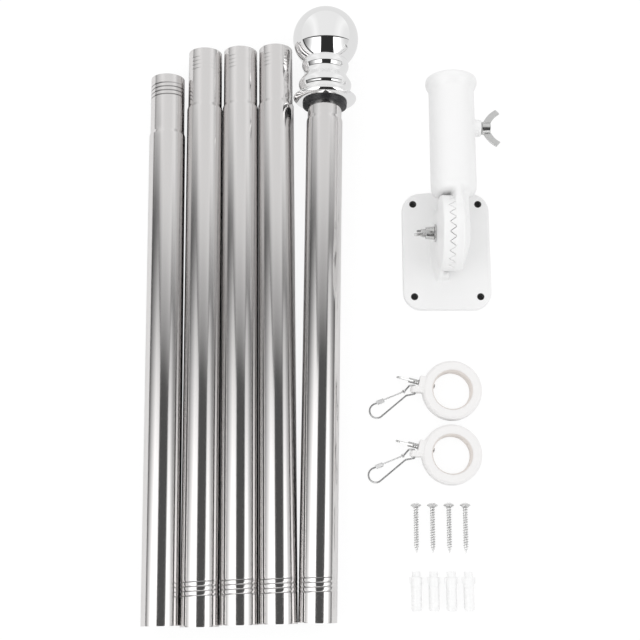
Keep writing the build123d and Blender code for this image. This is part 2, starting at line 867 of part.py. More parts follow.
def make_plug(number, x):
    line = lying_plane(x, plug_top_y, plug_d / 2, 180, 0)
    with BuildPart() as plug:
        with BuildSketch(line):
            with BuildLine():
                Polyline(
                    (plug_bore_d / 2, 0),
                    (plug_collar_d / 2, 0),
                    (plug_collar_d / 2, plug_collar_length),
                    (plug_d / 2, plug_collar_length),
                    (plug_d / 2, plug_length - plug_nose_length),
                    (plug_d / 2 - plug_nose_step, plug_length),
                    (plug_bore_d / 2, plug_length),
                    close=True,
                )
            make_face()
        revolve(axis=Axis(line.origin, line.y_dir))
        across = Plane(origin=line.origin, x_dir=line.x_dir, z_dir=line.y_dir)
        ear_root = plug_bore_d / 2 + plug_ear_root
        ear_depth = plug_d / 2 + plug_ear_height - ear_root
        with BuildSketch(across.offset(plug_collar_length)):
            for side in (1, -1):
                with Locations((side * (ear_root + ear_depth / 2), 0)):
                    Rectangle(ear_depth, plug_ear_width)
        extrude(amount=plug_ear_length)
        with BuildSketch(across.offset(plug_length - plug_slot_length)):
            Rectangle(plug_slot_width, 2 * plug_d)
        extrude(amount=plug_slot_length, mode=Mode.SUBTRACT)
    save(plug, f"wall_plug_{number}")


for number, x in enumerate(plug_positions_x, start=1):
    make_plug(number, x)
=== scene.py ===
import json
from math import asin, atan2, ceil, cos, hypot, pi, radians, sin, tan

import bmesh
import bpy
from mathutils import Matrix, Vector


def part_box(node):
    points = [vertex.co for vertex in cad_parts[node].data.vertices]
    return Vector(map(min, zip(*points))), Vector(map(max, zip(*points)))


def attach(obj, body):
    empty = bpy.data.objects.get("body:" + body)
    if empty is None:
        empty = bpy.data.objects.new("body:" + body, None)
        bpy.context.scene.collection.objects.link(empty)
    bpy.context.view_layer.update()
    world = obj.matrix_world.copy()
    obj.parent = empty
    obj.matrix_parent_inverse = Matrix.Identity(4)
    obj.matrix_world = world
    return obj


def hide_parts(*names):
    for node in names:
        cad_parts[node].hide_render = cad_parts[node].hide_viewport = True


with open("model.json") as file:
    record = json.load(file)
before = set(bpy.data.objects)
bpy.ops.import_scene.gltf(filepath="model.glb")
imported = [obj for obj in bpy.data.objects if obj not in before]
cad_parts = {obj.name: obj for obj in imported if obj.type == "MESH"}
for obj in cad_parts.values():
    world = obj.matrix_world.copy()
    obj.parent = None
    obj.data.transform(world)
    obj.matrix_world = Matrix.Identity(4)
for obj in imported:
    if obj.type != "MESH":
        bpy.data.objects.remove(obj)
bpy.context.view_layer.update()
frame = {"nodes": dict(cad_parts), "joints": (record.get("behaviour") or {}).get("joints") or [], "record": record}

# Looks of a sectional flagpole kit: five steel tubes, a ball finial, an adjustable wall bracket,
# two flag rings with snap hooks, four screws and four wall plugs.
# Places are in metres, and sizes in the dictionaries of the pieces in millimetres.

mm = 0.001
mounts = {m["name"]: m for m in frame["record"]["mounts"]}
joints = {j["name"]: j for j in frame["joints"]}
print("frame loaded,", len(frame["nodes"]), "nodes")


# Camera

camera = dict(place=(-0.0013, -0.2073, 0.802), tilt=13.9, lens=67.5, sensor=36.0)


def addCamera():
    data = bpy.data.cameras.new("photoCamera")
    data.lens = camera["lens"]
    data.sensor_width = camera["sensor"]
    obj = bpy.data.objects.new("photoCamera", data)
    obj.location = camera["place"]
    obj.rotation_euler = (radians(camera["tilt"]), 0, 0)
    bpy.context.scene.collection.objects.link(obj)
    bpy.context.scene.camera = obj
    bpy.context.scene.view_settings.view_transform = "Standard"


# Shader building

class Wire:
    def __init__(self, paint, socket):
        self.paint, self.socket = paint, socket

    def __add__(self, other):
        return self.paint.maths("ADD", self, other)

    def __radd__(self, other):
        return self.paint.maths("ADD", other, self)

    def __sub__(self, other):
        return self.paint.maths("SUBTRACT", self, other)

    def __rsub__(self, other):
        return self.paint.maths("SUBTRACT", other, self)

    def __mul__(self, other):
        return self.paint.maths("MULTIPLY", self, other)

    def __rmul__(self, other):
        return self.paint.maths("MULTIPLY", other, self)

    def __truediv__(self, other):
        return self.paint.maths("DIVIDE", self, other)


class Paint:
    def __init__(self, tree):
        self.tree = tree
        self.tree.nodes.clear()

    def add(self, kind, settings=None, inputs=None, out=0):
        node = self.tree.nodes.new(kind)
        for name, value in (settings or {}).items():
            if name == "stops":
                while len(node.color_ramp.elements) < len(value):
                    node.color_ramp.elements.new(0.5)
                for stop, (position, level) in zip(node.color_ramp.elements, value):
                    stop.position = position
                    stop.color = (level, level, level, 1)
            else:
                setattr(node, name, value)
        for name, value in (inputs or {}).items():
            if isinstance(value, Wire):
                self.tree.links.new(value.socket, node.inputs[name])
            else:
                node.inputs[name].default_value = value
        return Wire(self, node.outputs[out]) if len(node.outputs) else node

    def maths(self, operation, *values):
        return self.add("ShaderNodeMath", {"operation": operation}, dict(enumerate(values)))

    def vector(self, operation, *values, out=0):
        return self.add("ShaderNodeVectorMath", {"operation": operation}, dict(enumerate(values)), out)

    def ramp(self, stops, share):
        return self.add("ShaderNodeValToRGB", {"stops": stops}, {"Fac": share})

    def coords(self, kind):
        return self.add("ShaderNodeTexCoord", out=kind)

    def ray(self, kind):
        return self.add("ShaderNodeLightPath", out=kind)

    def marked(self):
        # painted shade, as much as a mesh's own shaded values say, or 0 where it has none
        return self.add("ShaderNodeAttribute", {"attribute_name": "shaded"}, out="Fac")

    def step(self, value, low, high):
        settings = {"interpolation_type": "SMOOTHSTEP"}
        return self.add("ShaderNodeMapRange", settings, {"Value": value, "From Min": low, "From Max": high})

    def blend(self, share, first, second):
        # a colour mix; a plain grey is given as one number
        grey = [(*((v,) * 3), 1) if isinstance(v, (int, float)) else v for v in (first, second)]
        grey = [(*v, 1) if isinstance(v, tuple) and len(v) == 3 else v for v in grey]
        return self.add("ShaderNodeMix", {"data_type": "RGBA"}, {0: share, 6: grey[0], 7: grey[1]}, out=2)

    def split(self, vector):
        node = self.add("ShaderNodeSeparateXYZ", None, {0: vector}).socket.node
        return [Wire(self, o) for o in node.outputs]


def newMaterial(name):
    material = bpy.data.materials.new(name)
    material.use_nodes = True
    return material, Paint(material.node_tree)


def endMaterial(paint, settings):
    shader = paint.add("ShaderNodeBsdfPrincipled", None, settings)
    paint.add("ShaderNodeOutputMaterial", None, {"Surface": shader})


def noiseOn(paint, scale, detail=3.0):
    spot = paint.vector("MULTIPLY", paint.coords("Object"), scale)
    return paint.add("ShaderNodeTexNoise", None, {"Vector": spot, "Scale": 1.0, "Detail": detail})


def bumpFrom(paint, height, strength, distance):
    return paint.add("ShaderNodeBump", None, {"Strength": strength, "Distance": distance, "Height": height})


# Materials

steelLook = dict(
    dull=(0.715, 0.70, 0.695), bright=(0.745, 0.73, 0.725), grooveShadeGrey=0.03, roughness=0.13,
    drawn=(900, 900, 6), cloudy=(60, 60, 12),       # drawing lines along the tube, and broad clouds
)


def polishedSteel():
    look = steelLook
    material, paint = newMaterial("polishedSteel")
    drawn = noiseOn(paint, look["drawn"])
    cloudy = noiseOn(paint, look["cloudy"])
    base = paint.blend(cloudy, look["dull"], look["bright"])
    endMaterial(paint, {
        # painted shade in the grooves that a mesh marks
        "Base Color": paint.blend(paint.marked(), base, look["grooveShadeGrey"]),
        "Metallic": 1.0,
        "Roughness": paint.step(cloudy, 0.3, 0.7) * 0.02 + look["roughness"],
        "Normal": bumpFrom(paint, drawn * 0.6 + cloudy * 0.4, 0.02, 0.0002),
    })
    return material


def chromePlate():
    material, paint = newMaterial("chromePlate")
    cloudy = noiseOn(paint, (80, 80, 80))
    endMaterial(paint, {
        "Base Color": paint.blend(cloudy, 0.935, 0.915),
        "Metallic": 1.0,
        "Roughness": cloudy * 0.002,        # a mirror, so that it sees the tent
    })
    return material


def holeWalls(paint):
    # the walls of the four mounting holes, where no light reaches
    back = mounts["bracket_holes"]["pos_m"]
    size = mounts["bracket_holes"]["dims"]
    x, y, z = paint.split(paint.coords("Object"))
    aside = paint.maths("ABSOLUTE", x - back[0]) - size["spacing_x_mm"] / 2 * mm
    along = paint.maths("ABSOLUTE", y - back[1]) - size["spacing_y_mm"] / 2 * mm
    away = paint.maths("SQRT", aside * aside + along * along)
    radius = size["hole_r_mm"] * mm
    low, high = casting["holeShade"]
    return 1 - paint.step(away, radius + low * mm, radius + high * mm)


def ringBoreShade(paint):
    # painted shade: the inner walls of the two flag rings are painted darker and warmer
    coords = paint.coords("Object")
    low, high = [(ring["bore"] + edge) * mm for edge in ring["boreShade"]]
    walls = []
    for number in (1, 2):
        middle, up = ringMiddle(number)
        away = paint.vector("SUBTRACT", coords, tuple(middle))
        lift = paint.vector("DOT_PRODUCT", away, tuple(up), out=1)
        square = paint.vector("DOT_PRODUCT", away, away, out=1)
        radius = paint.maths("SQRT", square - lift * lift)
        walls.append(1 - paint.step(radius, low, high))
    return paint.maths("MAXIMUM", *walls)


def whiteCoating(name, colour, roughness, mask=None, masked=None):
    material, paint = newMaterial(name)
    peel = noiseOn(paint, (900, 900, 900))
    broad = noiseOn(paint, (60, 60, 60))
    base = paint.blend(broad, colour, tuple(0.97 * c for c in colour))
    if mask:
        base = paint.blend(mask(paint), base, masked)
    endMaterial(paint, {
        "Base Color": base,
        "Roughness": broad * 0.1 + roughness,
        "Normal": bumpFrom(paint, peel, 0.15, 0.0002),
    })
    return material


def zincPlate(name, colour, roughness, shaded=None):
    material, paint = newMaterial(name)
    patchy = noiseOn(paint, (400, 400, 400), 5)
    fine = noiseOn(paint, (1500, 1500, 1500))
    base = paint.blend(patchy, colour, tuple(0.85 * c for c in colour))
    # painted shade where the mesh's shaded values mark it
    if shaded:
        base = paint.blend(paint.marked(), base, shaded)
    endMaterial(paint, {
        "Base Color": base,
        "Metallic": 1.0,
        "Roughness": patchy * 0.1 + roughness,
        "Normal": bumpFrom(paint, fine, 0.03, 0.0001),
    })
    return material


def blackMoulding():
    material, paint = newMaterial("blackMoulding")
    fine = noiseOn(paint, (1500, 1500, 1500))
    endMaterial(paint, {
        "Base Color": (0.012, 0.012, 0.014, 1),
        "Roughness": fine * 0.1 + 0.3,
        "Normal": bumpFrom(paint, fine, 0.1, 0.0001),
    })
    return material


# Studio: the world is white to the camera; metal sees two soft boxes with a dark gap, and a pale ceiling

studio = dict(
    brightest=2.4, boxEnd=0.36, dark=0.09, lamp=0.86,
    # angle from overhead, towards +X, and the level seen there
    levels=[(-90, 0.1), (-82, 0.35), (-73, 0.8), (-62, 1.25), (-51, 1.7), (-41, 2.2), (-29, 2.1),
            (-16.5, 2.0), (-14.5, 0.085), (35, 0.085), (37, 2.0), (51, 2.1), (62, 1.3), (72, 0.8),
            (82, 0.4), (90, 0.1)],
    cardEnd=(79, 81), beyond=0.45, beyondFrom=(0.3, 0.42),      # past the ceiling card, down to the horizon
)


mirrorTent = dict(
    slope=0.22, gap=0.08, edge=0.01, dark=0.03, horizon=(0.04, 0.12), openSide=(0.3, 0.5),
    # share across, from -X to +X, and the level seen there
    pale=[(-1.0, 0.83), (-0.8, 0.85), (-0.57, 0.99), (-0.35, 0.87), (0.45, 0.86), (0.73, 0.98),
          (0.9, 0.86), (1.0, 0.84)],
    boxes=[(-1.0, 0.2), (-0.92, 0.45), (-0.78, 0.95), (-0.64, 1.8), (-0.3, 2.0), (-0.28, 0.03),
           (0.44, 0.03), (0.46, 2.0), (0.7, 1.8), (0.84, 0.95), (0.94, 0.75), (1.0, 0.7)],
)


def mirrorLevel(paint, x, y, z):
    # what only a mirror finish sees: a pale tent, and below its edge two boxes in the dark
    t = mirrorTent
    seen = []
    for stops in (t["pale"], t["boxes"]):
        shares = [((spot + 1) / 2, level / studio["brightest"]) for spot, level in stops]
        seen.append(paint.ramp(shares, x / 2 + 0.5) * studio["brightest"])
    pale, boxes = seen
    inTent = paint.step(y + z * t["slope"], -t["edge"], t["edge"])
    below = paint.step(-1 * (y + z * (t["slope"] + t["gap"])), 0.0, 2 * t["edge"])
    above = paint.maths("MAXIMUM", paint.step(z, *t["horizon"]), paint.step(x, *t["openSide"]))
    return paint.blend(inTent, paint.maths("MAXIMUM", boxes * below * above, t["dark"]), pale)


def addWorld():
    world = bpy.data.worlds.new("studioWorld")
    world.use_nodes = True
    bpy.context.scene.world = world
    paint = Paint(world.node_tree)
    t = studio
    x, y, z = paint.split(paint.coords("Generated"))
    across = paint.maths("ARCTAN2", x, z) * (180 / pi)
    flat = paint.maths("SQRT", x * x + z * z)
    along = y / paint.maths("MAXIMUM", flat, 0.001)         # slope towards +Y
    stops = [((angle + 90) / 180, level / t["brightest"]) for angle, level in t["levels"]]
    box = paint.ramp(stops, across / 180 + 0.5) * t["brightest"]
    fade = paint.maths("MINIMUM", 1 - along / t["boxEnd"], 1)
    rim = paint.step(paint.maths("ABSOLUTE", across), *t["cardEnd"])
    rim = rim * paint.step(along, *t["beyondFrom"]) * t["beyond"]
    boxes = paint.maths("MAXIMUM", paint.maths("MAXIMUM", box * fade, t["dark"]), rim)
    boxes = paint.blend(paint.ray("Is Singular Ray"), boxes, mirrorLevel(paint, x, y, z))
    reflected = paint.maths("MAXIMUM", paint.ray("Is Glossy Ray"), paint.ray("Is Transmission Ray"))
    level = paint.blend(reflected, t["lamp"], boxes)
    level = paint.blend(paint.ray("Is Camera Ray"), level, 1.0)
    shader = paint.add("ShaderNodeBackground", None, {"Color": level, "Strength": 1.0})
    paint.add("ShaderNodeOutputWorld", None, {"Surface": shader})


def addCard(name, corners, height, colour):
    # a sheet that only reflections see; clear where its colour is black
    mesh = bpy.data.meshes.new(name)
    mesh.from_pydata([(x, y, height) for x, y in corners], [], [tuple(range(len(corners)))])
    obj = bpy.data.objects.new(name, mesh)
    bpy.context.scene.collection.objects.link(obj)
    material, paint = newMaterial(name)
    level = colour(paint)
    glow = paint.add("ShaderNodeEmission", None, {"Color": level, "Strength": 1.0})
    clear = paint.add("ShaderNodeBsdfTransparent")
    mixed = paint.add("ShaderNodeMixShader", None, {0: paint.step(level, 0.0, 0.1), 1: clear, 2: glow})
    paint.add("ShaderNodeOutputMaterial", None, {"Surface": mixed})
    mesh.materials.append(material)
    obj.visible_camera = False
    obj.visible_diffuse = False
    obj.visible_shadow = False
    obj.visible_transmission = False
    obj.visible_volume_scatter = False


ceiling = dict(
    height=0.485, far=3.0, near=-0.2, soft=0.22, middle=0.095,
    # slope and start of each stretch of its near edge
    left=(-0.68, -0.045), leftFar=(-0.30, 0.15), rightNear=(1.0, -0.14), rightFar=(0.2, 0.16),
    across=[(0.0, 0.5), (0.25, 0.66), (0.34, 0.78), (0.43, 1.0), (0.47, 0.87), (0.53, 0.86), (0.57, 0.98),
            (0.6, 1.0), (0.65, 0.82), (0.73, 0.7), (1.0, 0.5)],
    edge=[(0.0, 0.0), (0.04, 0.1), (0.3, 0.48), (0.52, 0.67), (0.77, 0.9), (1.0, 1.0)],
)


def addCeiling():
    c = ceiling

    def colour(paint):
        x, y, z = paint.split(paint.coords("Object"))
        edges = [c[side] for side in ("left", "leftFar", "rightNear", "rightFar")]
        left, leftFar, rightNear, rightFar = [x * slope + start for slope, start in edges]
        left = paint.maths("MINIMUM", left, leftFar)
        right = paint.maths("MINIMUM", rightNear, rightFar)
        front = paint.maths("MAXIMUM", paint.maths("MAXIMUM", left, right), c["middle"])
        share = (y - front) / c["soft"] + c["edge"][2][0]
        level = paint.ramp(c["across"], x / (2 * c["far"]) + 0.5)
        return level * paint.ramp(c["edge"], share) * (1 - paint.ray("Is Singular Ray"))

    far, near = c["far"], c["near"]
    addCard("ceilingCard", [(-far, near), (far, near), (far, far), (-far, far)], c["height"], colour)


lamps = dict(
    left=dict(place=(-0.72, -0.3, 0.8), size=(0.9, 1.0), power=2.4),
    right=dict(place=(0.78, -0.3, 0.8), size=(0.9, 1.0), power=1.7),
    back=dict(place=(0.0, 0.9, 0.8), size=(1.6, 0.6), power=1.2),
)


def addLamps():
    for side, lamp in lamps.items():
        data = bpy.data.lights.new(side + "Lamp", "AREA")
        data.shape = "RECTANGLE"
        data.size, data.size_y = lamp["size"]
        data.energy = lamp["power"]
        obj = bpy.data.objects.new(side + "Lamp", data)
        obj.location = lamp["place"]
        obj.rotation_euler = (Vector((0, 0, 0)) - Vector(lamp["place"])).to_track_quat("-Z", "Y").to_euler()
        obj.visible_glossy = False
        obj.visible_camera = False
        bpy.context.scene.collection.objects.link(obj)


floorStage = dict(
    half=4.0, drop=0.0002, white=0.9, shade=0.12, albedo=0.9, mirrored=0.8,
    plate=(61.0, 85.0), plateEdge=4.0,      # below the bracket's plate the floor is painted dark, a painted shadow
)


def addFloor():
    # the camera sees it white, with a trace of the shadows; metal sees it as it is lit
    f = floorStage
    mesh = bpy.data.meshes.new("floor")
    h = f["half"]
    mesh.from_pydata([(-h, -h, 0), (h, -h, 0), (h, h, 0), (-h, h, 0)], [], [(0, 1, 2, 3)])
    obj = bpy.data.objects.new("floor", mesh)
    obj.location.z = -f["drop"]
    bpy.context.scene.collection.objects.link(obj)
    material, paint = newMaterial("paleFloor")
    x, y, z = paint.split(paint.coords("Object"))
    back = mounts["bracket_back"]["pos_m"]
    inside = [paint.maths("ABSOLUTE", spot - middle) for spot, middle in ((x, back[0]), (y, back[1]))]
    reach = [(size / 2 - f["plateEdge"]) * mm for size in f["plate"]]
    bare = paint.maths("MAXIMUM", *[paint.maths("GREATER_THAN", i, r) for i, r in zip(inside, reach)])
    # painted shadow: the camera's white glow is left out below the plate, so the floor there shows dark through
    # the holes
    colour = paint.blend(bare, 0.0, f["white"])
    white = paint.add("ShaderNodeEmission", None, {"Color": colour, "Strength": 1.0})
    grey = (f["shade"],) * 3 + (1,)
    trace = paint.add("ShaderNodeBsdfDiffuse", None, {"Color": grey})
    backdrop = paint.add("ShaderNodeAddShader", None, {0: white, 1: trace})
    lit = paint.add("ShaderNodeBsdfDiffuse", None, {"Color": (f["albedo"],) * 3 + (1,)})
    level = paint.add("ShaderNodeEmission", None, {"Color": (f["mirrored"],) * 3 + (1,), "Strength": 1.0})
    lit = paint.add("ShaderNodeMixShader", None, {0: paint.ray("Is Singular Ray"), 1: lit, 2: level})
    mixed = paint.add("ShaderNodeMixShader", None, {0: paint.ray("Is Camera Ray"), 1: lit, 2: backdrop})
    paint.add("ShaderNodeOutputMaterial", None, {"Surface": mixed})
    mesh.materials.append(material)


# Mesh helpers

def placeAlong(origin, along, across=(1, 0, 0)):
    z = Vector(along).normalized()
    x = (Vector(across) - z * Vector(across).dot(z)).normalized()
    place = Matrix((x, z.cross(x), z)).transposed().to_4x4()
    place.translation = Vector(origin)
    return place


def reachAlong(node, origin, along):
    spots = [(v.co - origin).dot(along) / mm for v in frame["nodes"][node].data.vertices]
    return min(spots), max(spots)


def rounded(points, closed=False, steps=5):
    # points are (x, y) or (x, y, radius of the corner)
    done = []
    for i, point in enumerate(points):
        here = Vector(point[:2])
        radius = point[2] if len(point) > 2 else 0
        if not radius or (not closed and i in (0, len(points) - 1)):
            done.append(tuple(here))
            continue
        back = (Vector(points[i - 1][:2]) - here).normalized()
        ahead = (Vector(points[(i + 1) % len(points)][:2]) - here).normalized()
        half = back.angle(ahead) / 2
        reach = radius / tan(half)
        centre = here + (back + ahead).normalized() * radius / sin(half)
        first, last = here + back * reach, here + ahead * reach
        for k in range(steps + 1):
            share = k / steps
            spoke = (first - centre).slerp(last - centre, share)        # slerp gives it a length of 1
            done.append(tuple(centre + spoke * radius))
    return done


def flowing(points, steps=6):
    # a smooth line through the points
    done = []
    for i in range(len(points) - 1):
        a, b = Vector(points[i]), Vector(points[i + 1])
        before = Vector(points[i - 1]) if i else a * 2 - b
        after = Vector(points[i + 2]) if i + 2 < len(points) else b * 2 - a
        for k in range(steps):
            t = k / steps
            done.append(tuple(0.5 * (2 * a + (b - before) * t + (2 * before - 5 * a + 4 * b - after) * t * t
                                     + (3 * a - before - 3 * b + after) * t ** 3)))
    return done + [tuple(points[-1])]


def shell(name, verts, faces, place):
    # a mesh object with its faces turned outwards
    mesh = bpy.data.meshes.new(name)
    mesh.from_pydata(verts, [], faces)
    turned = bmesh.new()
    turned.from_mesh(mesh)
    bmesh.ops.recalc_face_normals(turned, faces=turned.faces)
    turned.to_mesh(mesh)
    turned.free()
    obj = bpy.data.objects.new(name, mesh)
    obj.matrix_world = place
    bpy.context.scene.collection.objects.link(obj)
    return obj


def lathe(name, profile, place, around=96, closed=False, ripple=None, dent=None):
    # profile is (radius, along) in mm; ripple adds to the radius, dent to the place along the axis
    verts, faces, rings = [], [], []
    for radius, along in profile:
        if radius < 1e-6:
            rings.append([len(verts)] * around)
            verts.append((0, 0, along * mm))
            continue
        rings.append(list(range(len(verts), len(verts) + around)))
        for k in range(around):
            angle = 2 * pi * k / around
            r = (radius + (ripple(radius, along, angle) if ripple else 0)) * mm
            deeper = dent(radius, along, angle) if dent else 0
            verts.append((r * cos(angle), r * sin(angle), (along + deeper) * mm))
    pairs = list(zip(rings, rings[1:])) + ([(rings[-1], rings[0])] if closed else [])
    for low, high in pairs:
        for k in range(around):
            n = (k + 1) % around
            loop = [low[k], low[n], high[n], high[k]]
            loop = [v for i, v in enumerate(loop) if v != loop[i - 1]]
            if len(loop) > 2:
                faces.append(loop)
    return shell(name, verts, faces, place)


def seated(obj):
    # the mesh holds its place in the shared frame
    obj.data.transform(obj.matrix_world)
    obj.matrix_world = Matrix()
    return obj


def evaluated(obj):
    bpy.context.view_layer.update()
    mesh = bpy.data.meshes.new_from_object(obj.evaluated_get(bpy.context.evaluated_depsgraph_get()))
    obj.modifiers.clear()
    obj.data = mesh
    return obj


def thinned(obj, keep):
    if keep < 1:
        thin = obj.modifiers.new("thin", "DECIMATE")
        thin.ratio = keep
        evaluated(obj)
    return obj


def soften(obj, voxel, relax, keep=1.0, move=None):
    # one closed skin with the softened edges of a casting or moulding
    grid = obj.modifiers.new("grid", "REMESH")
    grid.mode = "VOXEL"
    grid.voxel_size = voxel * mm
    ease = obj.modifiers.new("ease", "SMOOTH")
    ease.factor = 0.5
    ease.iterations = relax
    evaluated(obj)
    if move:
        moved = [move(v.co / mm, v.normal) for v in obj.data.vertices]
        for vertex, shift in zip(obj.data.vertices, moved):
            vertex.co += shift * mm
    return thinned(obj, keep)


def melted(obj, steps, share):
    # further smoothing, as strong at each spot as share says
    group = obj.vertex_groups.new(name="melt")
    for vertex in obj.data.vertices:
        group.add([vertex.index], share(vertex.co / mm), "REPLACE")
    ease = obj.modifiers.new("melt", "SMOOTH")
    ease.factor = 0.5
    ease.iterations = steps
    ease.vertex_group = group.name
    evaluated(obj)
    obj.vertex_groups.clear()
    return obj


def softCopy(name, node, voxel, relax, keep=1.0, move=None, melt=()):
    obj = bpy.data.objects.new(name, frame["nodes"][node].data.copy())
    obj.data.materials.clear()
    bpy.context.scene.collection.objects.link(obj)
    weld = obj.modifiers.new("weld", "WELD")
    weld.merge_threshold = 0.002 * mm
    soften(evaluated(obj), voxel, relax, 1.0, move)
    for steps, share in melt:
        melted(obj, steps, share)
    return thinned(obj, keep)


def joined(name, *objs):
    # several closed shells as one object, in the shared frame
    whole = bmesh.new()
    for obj in objs:
        mesh = obj.data
        mesh.transform(obj.matrix_world)
        whole.from_mesh(mesh)
        bpy.data.objects.remove(obj)
    mesh = bpy.data.meshes.new(name)
    whole.to_mesh(mesh)
    whole.free()
    obj = bpy.data.objects.new(name, mesh)
    bpy.context.scene.collection.objects.link(obj)
    return obj


def slab(name, outline, thickness, place):
    # a flat plate with the outline (x, along) in mm, as thick as given across it
    half = thickness / 2 * mm
    count = len(outline)
    verts = [(x * mm, side * half, a * mm) for side in (-1, 1) for x, a in outline]
    faces = [tuple(range(count)), tuple(range(2 * count - 1, count - 1, -1))]
    faces += [(k, k + count, (k + 1) % count + count, (k + 1) % count) for k in range(count)]
    return shell(name, verts, faces, place)


def finishPiece(piece, body, material, node, sharp=30):
    piece.data.materials.clear()
    piece.data.materials.append(material)
    piece.data.shade_smooth()
    piece.data.set_sharp_from_angle(angle=radians(sharp))
    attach(piece, body)
    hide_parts(node)


# Pole tubes

tube = dict(
    radius=12.5, wall=0.6, neckRadius=11.8, neckLength=41.0, shoulder=2.4, shoulderRound=1.5, sections=5,
    around=128, edge=0.8, edgeRound=0.1, footDepth=0.24, neckDepth=0.08,
    grooveWidth=1.3, pitch=2.9, turns=4, runOut=0.3, neckStart=5.9, footStart=17.6, fineStep=0.25, paintedGrooveShade=0.85,
)


def sectionLine(number):
    foot = mounts[f"section_{number}_foot_bore"]
    along = -Vector(foot["axis"])
    origin = Vector(foot["pos_m"])
    low, high = reachAlong(f"pole_section_{number}", origin, along)
    return origin + along * low * mm, along, high - low


def rolledThread(along, angle, start, depth):
    # how far a ring that runs on a helix changes the radius
    turn = (along - start) / tube["pitch"] - angle / (2 * pi)
    nearest = min(max(round(turn), 0), tube["turns"] - 1)
    offset = abs(turn - nearest) * tube["pitch"]
    if offset > tube["grooveWidth"] / 2:
        return 0
    travelled = nearest + angle / (2 * pi)
    fade = min(1, travelled / tube["runOut"], (tube["turns"] - travelled) / tube["runOut"])
    return -depth * max(fade, 0) * cos(pi * offset / tube["grooveWidth"]) ** 2


def makeTube(number, steel):
    origin, along, length = sectionLine(number)
    t = tube
    shoulder = length - t["neckLength"]
    threadLength = t["pitch"] * (t["turns"] + 1)
    neckThread = length - t["neckStart"] - t["pitch"] * t["turns"]
    footThread = t["footStart"]
    count = ceil(threadLength / t["fineStep"])
    spots = [k * t["fineStep"] for k in range(count + 1)]
    outer = [(t["radius"] - t["edgeRound"] / 2, 0), (t["radius"], t["edgeRound"]), (t["radius"], t["edge"])]
    outer += [(t["radius"], footThread - t["pitch"] / 2 + s) for s in spots]
    outer += rounded([
        (t["radius"], shoulder - t["shoulder"] - 2 * t["shoulderRound"]),
        (t["radius"], shoulder - t["shoulder"], t["shoulderRound"]),
        (t["neckRadius"], shoulder, t["shoulderRound"]),
        (t["neckRadius"], shoulder + 2 * t["shoulderRound"]),
    ])
    outer += [(t["neckRadius"], neckThread - t["pitch"] / 2 + s) for s in spots]
    outer += [(t["neckRadius"], length - t["edgeRound"]), (t["neckRadius"] - t["edgeRound"], length)]
    inside = [(t["neckRadius"] - t["wall"], length), (t["neckRadius"] - t["wall"], shoulder)]
    inside += [(t["radius"] - t["wall"], shoulder - t["shoulder"]), (t["radius"] - t["wall"], 0)]

    def ripple(radius, a, angle):
        if a < shoulder / 2:
            return rolledThread(a, angle, footThread, t["footDepth"]) if number > 1 else 0
        return rolledThread(a, angle, neckThread, t["neckDepth"])

    place = placeAlong(origin, along)
    piece = lathe(f"steelTube{number}", outer + inside, place, t["around"], True, ripple)
    if number == 1:
        # painted shade: the first tube's thread rings hold a dark line painted into the colour
        dark = piece.data.attributes.new("shaded", "FLOAT", "POINT")
        for vertex, mark in zip(piece.data.vertices, dark.data):
            angle = atan2(vertex.co.y, vertex.co.x) % (2 * pi)
            a = vertex.co.z / mm
            mark.value = -rolledThread(a, angle, neckThread, t["paintedGrooveShade"])
    finishPiece(piece, "root", steel, f"pole_section_{number}")


# Finial

finial = dict(
    ballRadius=23.0, around=128, arcSteps=72, lipSteps=12, insertOuter=31.0, socketWall=1.4, play=0.1,
    # diameter and drop from the top
    collar=[(31.2, 0), (33.0, 4.2), (29.6, 10.3), (37.0, 17.5), (34.4, 24.0), (44.0, 27.8)],
    insertDrop=15.5, roof=1.3, ridgeStep=1.1, ridgeDepth=0.16, insertEdge=0.6,
)


def makeFinial(chrome, black):
    f = finial
    origin, along, length = sectionLine(tube["sections"])
    place = placeAlong(origin, along)
    ballTop = reachAlong("finial_ball", origin, along)[1]
    low, top = reachAlong("finial_collar", origin, along)
    middle = ballTop - f["ballRadius"]
    start = asin(f["collar"][0][0] / 2 / f["ballRadius"])
    turns = [start + (pi - start) * k / f["arcSteps"] for k in range(f["arcSteps"])]
    sphere = [(0, middle - f["ballRadius"] * cos(start))]
    sphere += [(f["ballRadius"] * sin(a), middle - f["ballRadius"] * cos(a)) for a in turns]
    sphere += [(0, ballTop)]
    ball = seated(lathe("chromeBall", sphere, place, f["around"]))
    finishPiece(ball, "root", chrome, "finial_ball")
    edge = flowing([(d / 2, top - drop) for d, drop in f["collar"]])
    flange, fall = f["collar"][-1][0] / 2, f["collar"][-1][1]
    cavity = f["insertOuter"] / 2 + f["play"]
    socket = tube["neckRadius"] + f["socketWall"]
    quarter = [pi / 2 * k / f["lipSteps"] for k in range(1, f["lipSteps"] + 1)]
    lip = [(cavity + (flange - cavity) * cos(a), top - fall - (top - fall - low) * sin(a)) for a in quarter]
    profile = [(0, top)] + edge + lip + [
        (cavity, top - f["insertDrop"]),
        (socket, top - f["insertDrop"]),
        (socket, top - f["roof"]),
        (0, top - f["roof"]),
    ]
    collar = seated(lathe("chromeCollar", profile, place, f["around"]))
    finishPiece(collar, "root", chrome, "finial_collar")
    low, high = reachAlong("finial_insert", origin, along)
    outer, bore, edge = f["insertOuter"] / 2, tube["neckRadius"] + f["play"], f["insertEdge"]
    step = f["ridgeStep"] / 8
    spots = [low + edge + k * step for k in range(int((high - low - 2 * edge) / step))]
    half = f["ridgeDepth"] / 2
    ridges = [(outer - half + half * cos(2 * pi * (a - low) / f["ridgeStep"]), a) for a in spots]
    foot = [(bore, low), (outer - edge, low), (outer - edge / 3, low + edge / 3)]
    insert = lathe("collarInsert", foot + ridges + [(outer, high), (bore, high)], place, closed=True)
    finishPiece(insert, "root", black, "finial_insert")


# Bracket castings

